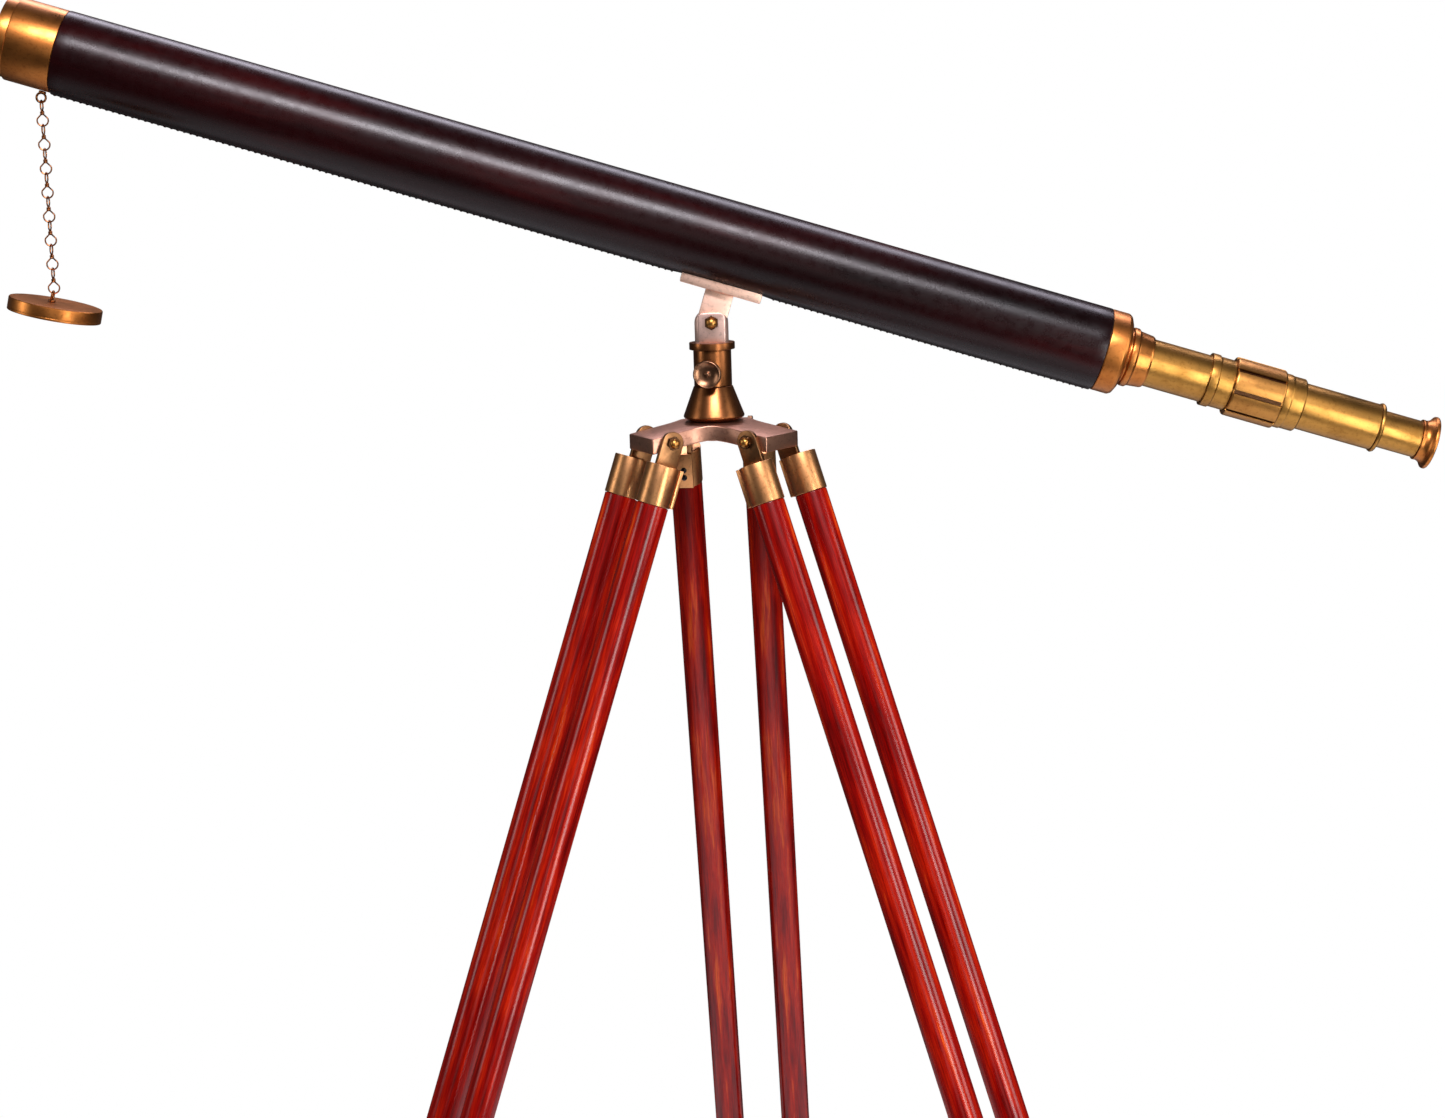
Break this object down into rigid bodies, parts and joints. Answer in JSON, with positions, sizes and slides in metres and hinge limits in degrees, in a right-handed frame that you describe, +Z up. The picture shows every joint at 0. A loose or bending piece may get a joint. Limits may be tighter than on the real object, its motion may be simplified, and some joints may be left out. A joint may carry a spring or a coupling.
{
  "type": "telescope on tripod",
  "caption": "Draw-tube brass telescope with a leather-covered barrel on a floor-standing wooden tripod; swivels, tilts, focuses and folds.",
  "frame": {"origin": "on the floor, under the middle of the part's bounding box", "axes": "+Z up; the telescope lies in a plane parallel to XZ, with its objective towards -X and its eyepiece towards +X; the side seen from -Y is the front"},
  "size_m": [1, 0.8395, 1.6642],
  "materials": {
    "copper_brass": "polished, warm copper tone",
    "gold_brass": "antiqued yellow brass",
    "rose_brass": "bare cast brass, pinkish",
    "brown_brass": "dark antiqued brass",
    "leather": "dark oxblood, polished",
    "mahogany": "red varnish, glossy",
    "glass": "clear, coated"
  },
  "bodies": {
    "stand": {"hub_spider": "rose_brass", "cone_socket": "brown_brass", "hub_screw": "brown_brass", "column": "brown_brass", "leg_a_bolt": "gold_brass", "leg_b_bolt": "gold_brass", "leg_c_bolt": "gold_brass"},
    "azimuth_lock": {"azimuth_lock_knob": "rose_brass"},
    "swivel_head": {"tilt_fork": "brown_brass", "tilt_bolt": "gold_brass"},
    "telescope": {"tilt_tongue": "rose_brass", "saddle_plate": "rose_brass", "main_tube": "gold_brass", "leather_sleeve": "leather", "rear_ring": "copper_brass", "objective_ferrule": "copper_brass", "objective_ring": "copper_brass", "crown_lens": "glass", "flint_lens": "glass", "chain_eyelet": "brown_brass"},
    "draw": {"draw_tube": "gold_brass", "coupling_ring": "gold_brass", "focus_barrel": "copper_brass", "barrel_end_ring": "gold_brass", "erector_tube": "gold_brass", "eyepiece_collar": "gold_brass", "erector_front_lens": "glass", "erector_rear_lens": "glass"},
    "eyepiece": {"eyepiece_tube": "gold_brass", "eyecup": "copper_brass", "field_lens": "glass", "eye_lens": "glass"},
    "chain_top": {"chain_upper": "brown_brass"},
    "chain_bottom": {"chain_lower": "brown_brass"},
    "cap": {"lens_cap": "copper_brass", "cap_eyelet": "brown_brass"},
    "leg_a": {"leg_a_ferrule_left": "gold_brass", "leg_a_ferrule_right": "gold_brass", "leg_a_rod_left": "mahogany", "leg_a_rod_right": "mahogany", "leg_a_clamp": "gold_brass"},
    "leg_a_lower": {"leg_a_lower_rod": "mahogany", "leg_a_foot": "gold_brass"},
    "leg_a_lock": {"leg_a_lock_knob": "rose_brass"},
    "leg_b": {"leg_b_ferrule_left": "gold_brass", "leg_b_ferrule_right": "gold_brass", "leg_b_rod_left": "mahogany", "leg_b_rod_right": "mahogany", "leg_b_clamp": "gold_brass"},
    "leg_b_lower": {"leg_b_lower_rod": "mahogany", "leg_b_foot": "gold_brass"},
    "leg_b_lock": {"leg_b_lock_knob": "rose_brass"},
    "leg_c": {"leg_c_ferrule_left": "gold_brass", "leg_c_ferrule_right": "gold_brass", "leg_c_rod_left": "mahogany", "leg_c_rod_right": "mahogany", "leg_c_clamp": "gold_brass"},
    "leg_c_lower": {"leg_c_lower_rod": "mahogany", "leg_c_foot": "gold_brass"},
    "leg_c_lock": {"leg_c_lock_knob": "rose_brass"}
  },
  "joints": [
    {"name": "swivel", "type": "hinge", "parent": "stand", "child": "swivel_head", "pos_m": [-0.007, -0.107, 1.397], "axis": [0, 0, 1], "continuous": true},
    {"name": "azimuth_lock_turn", "type": "hinge", "parent": "stand", "child": "azimuth_lock", "pos_m": [-0.007, -0.107, 1.392], "axis": [-0.1908, -0.9816, 0], "range_deg": [0, 270]},
    {"name": "tilt", "type": "hinge", "parent": "swivel_head", "child": "telescope", "pos_m": [-0.007, -0.107, 1.427], "axis": [0, 1, 0], "range_deg": [-50, 45]},
    {"name": "draw_slide", "type": "slide", "parent": "telescope", "child": "draw", "axis": [0.9532, 0, -0.3024], "range_m": [-0.042, 0.07]},
    {"name": "eyepiece_slide", "type": "slide", "parent": "draw", "child": "eyepiece", "axis": [0.9532, 0, -0.3024], "range_m": [-0.022, 0.02]},
    {"name": "chain_swing", "type": "hinge", "parent": "telescope", "child": "chain_top", "pos_m": [-0.46402, -0.107, 1.59526], "axis": [0, 1, 0], "range_deg": [-45, 50]},
    {"name": "chain_bend", "type": "hinge", "parent": "chain_top", "child": "chain_bottom", "pos_m": [-0.46402, -0.107, 1.53021], "axis": [0, 1, 0], "range_deg": [-15, 15]},
    {"name": "cap_swing", "type": "hinge", "parent": "chain_bottom", "child": "cap", "pos_m": [-0.46402, -0.107, 1.46411], "axis": [0, 1, 0], "range_deg": [-15, 15]},
    {"name": "leg_a_fold", "type": "hinge", "parent": "stand", "child": "leg_a", "pos_m": [-0.04591, -0.12531, 1.347], "axis": [0.4258, -0.9048, 0], "range_deg": [0, 19]},
    {"name": "leg_a_extend", "type": "slide", "parent": "leg_a", "child": "leg_a_lower", "axis": [-0.3042, -0.1432, -0.9418], "range_m": [-0.45, 0.06]},
    {"name": "leg_a_lock_turn", "type": "hinge", "parent": "leg_a", "child": "leg_a_lock", "pos_m": [-0.27839, -0.23471, 0.63918], "axis": [-0.8522, -0.401, 0.3362], "range_deg": [0, 270]},
    {"name": "leg_b_fold", "type": "hinge", "parent": "stand", "child": "leg_b", "pos_m": [0.02831, -0.13154, 1.347], "axis": [0.5707, 0.8211, 0], "range_deg": [0, 19]},
    {"name": "leg_b_extend", "type": "slide", "parent": "leg_b", "child": "leg_b_lower", "axis": [0.2761, -0.1919, -0.9418], "range_m": [-0.45, 0.06]},
    {"name": "leg_b_lock_turn", "type": "hinge", "parent": "leg_b", "child": "leg_b_lock", "pos_m": [0.23929, -0.27818, 0.63918], "axis": [0.7733, -0.5375, 0.3362], "range_deg": [0, 270]},
    {"name": "leg_c_fold", "type": "hinge", "parent": "stand", "child": "leg_c", "pos_m": [-0.0034, -0.06415, 1.347], "axis": [-0.9965, 0.0837, 0], "range_deg": [0, 19]},
    {"name": "leg_c_extend", "type": "slide", "parent": "leg_c", "child": "leg_c_lower", "axis": [0.0281, 0.335, -0.9418], "range_m": [-0.45, 0.06]},
    {"name": "leg_c_lock_turn", "type": "hinge", "parent": "leg_c", "child": "leg_c_lock", "pos_m": [0.0181, 0.19189, 0.63918], "axis": [0.0788, 0.9385, 0.3362], "range_deg": [0, 270]}
  ]
}
